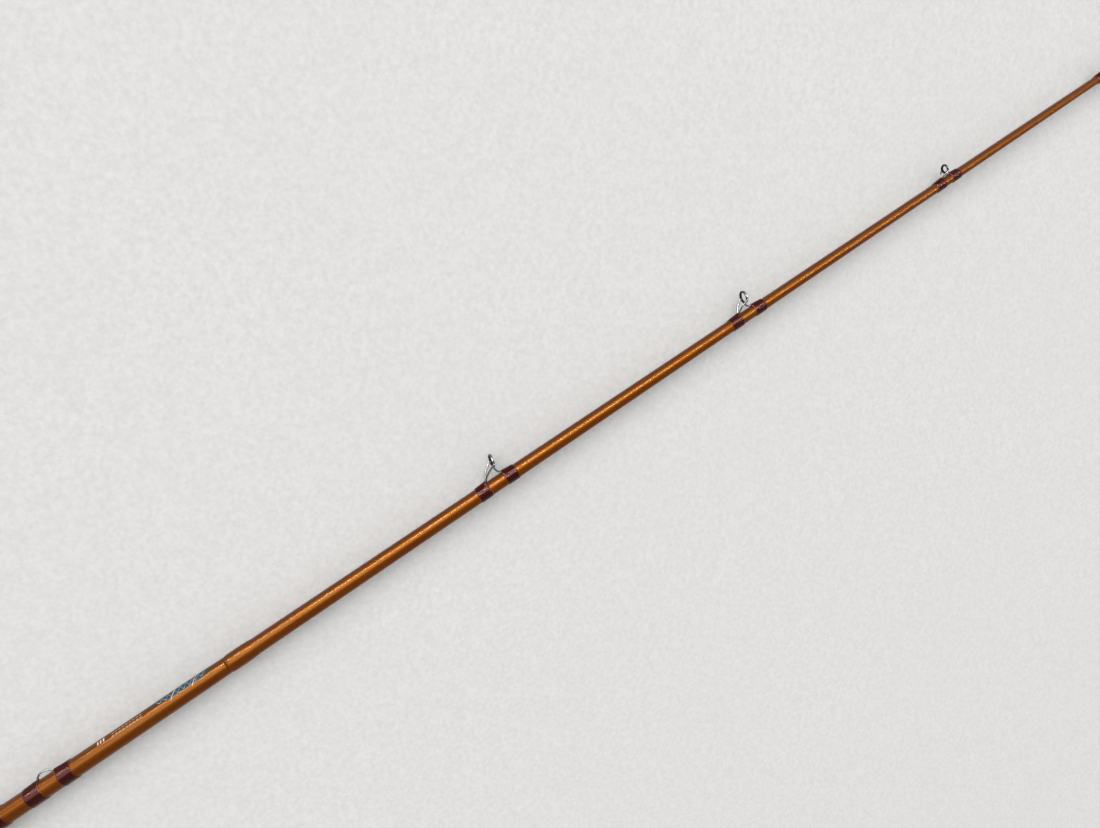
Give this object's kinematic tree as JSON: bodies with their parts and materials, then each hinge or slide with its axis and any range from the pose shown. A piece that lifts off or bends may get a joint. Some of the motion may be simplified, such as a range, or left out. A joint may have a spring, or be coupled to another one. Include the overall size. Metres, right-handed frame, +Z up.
{
  "type": "spinning rod",
  "caption": "Amber glass-fibre spinning rod in two sections, with a spigot ferrule, screw-hood reel seat, cork grips and wire line guides bound on with maroon thread.",
  "frame": {"origin": "centre of the butt cap's flat end face", "axes": "+X from butt to tip along the blank, +Y towards the side that carries the guides and the reel, +Z up as the rod lies on its side"},
  "size_m": [1.8281, 0.0343, 0.0268],
  "materials": {
    "glass_amber": "varnished amber glass fibre, glossy",
    "thread_maroon": "wound thread under clear gloss varnish",
    "cork": "sanded cork rings, matte",
    "rubber_black": "matte moulded rubber",
    "seat_black": "black anodised, satin",
    "steel_bright": "bright plated wire",
    "ceramic_black": "polished black ring",
    "fibre": "raw fibre arbor, matte",
    "label_blue": "blue transfer under varnish"
  },
  "bodies": {
    "handle": {"butt_cap": "rubber_black", "rear_grip": "cork", "seat_barrel": "seat_black", "seat_bushing_rear": "fibre", "seat_bushing_front": "fibre", "fixed_hood": "seat_black", "foregrip": "cork", "winding_check": "steel_bright", "fore_wrap": "thread_maroon", "hook_keeper": "steel_bright", "keeper_wrap_butt": "thread_maroon", "keeper_wrap_tip": "thread_maroon", "label_band": "label_blue", "butt_blank": "glass_amber", "ferrule_spigot": "glass_amber"},
    "tip_section": {"tip_blank": "glass_amber", "ferrule_hoop": "glass_amber", "guide_1_frame": "steel_bright", "guide_1_ring": "ceramic_black", "guide_1_wrap_butt": "thread_maroon", "guide_1_wrap_tip": "thread_maroon", "guide_2_frame": "steel_bright", "guide_2_ring": "ceramic_black", "guide_2_wrap_butt": "thread_maroon", "guide_2_wrap_tip": "thread_maroon", "guide_3_frame": "steel_bright", "guide_3_ring": "ceramic_black", "guide_3_wrap_butt": "thread_maroon", "guide_3_wrap_tip": "thread_maroon", "guide_4_frame": "steel_bright", "guide_4_ring": "ceramic_black", "guide_4_wrap_butt": "thread_maroon", "guide_4_wrap_tip": "thread_maroon", "guide_5_frame": "steel_bright", "guide_5_ring": "ceramic_black", "guide_5_wrap_butt": "thread_maroon", "guide_5_wrap_tip": "thread_maroon", "guide_6_frame": "steel_bright", "guide_6_ring": "ceramic_black", "guide_6_wrap_butt": "thread_maroon", "guide_6_wrap_tip": "thread_maroon", "guide_7_frame": "steel_bright", "guide_7_ring": "ceramic_black", "guide_7_wrap_butt": "thread_maroon", "guide_7_wrap_tip": "thread_maroon", "tip_top_frame": "steel_bright", "tip_top_ring": "ceramic_black", "tip_top_wrap": "thread_maroon"},
    "moving_hood": {"moving_hood": "seat_black"},
    "adjusting_nut": {"adjusting_nut": "seat_black"},
    "lock_nut": {"lock_nut": "seat_black"}
  },
  "joints": [
    {"name": "tip_pull", "type": "slide", "parent": "handle", "child": "tip_section", "axis": [1, 0, 0], "range_m": [0, 0.066]},
    {"name": "hood_slide", "type": "slide", "parent": "handle", "child": "moving_hood", "axis": [-1, 0, 0], "range_m": [0, 0.015]},
    {"name": "nut_spin", "type": "hinge", "parent": "moving_hood", "child": "adjusting_nut", "pos_m": [0.278, 0, 0], "axis": [-1, 0, 0], "range_deg": [0, 3600]},
    {"name": "lock_spin", "type": "hinge", "parent": "moving_hood", "child": "lock_nut", "pos_m": [0.287, 0, 0], "axis": [-1, 0, 0], "range_deg": [0, 3600]}
  ],
  "couplings": [
    {"joint": "nut_spin", "follows": "hood_slide", "rad_per_m": 4188.8},
    {"joint": "lock_spin", "follows": "hood_slide", "rad_per_m": 4188.8}
  ]
}
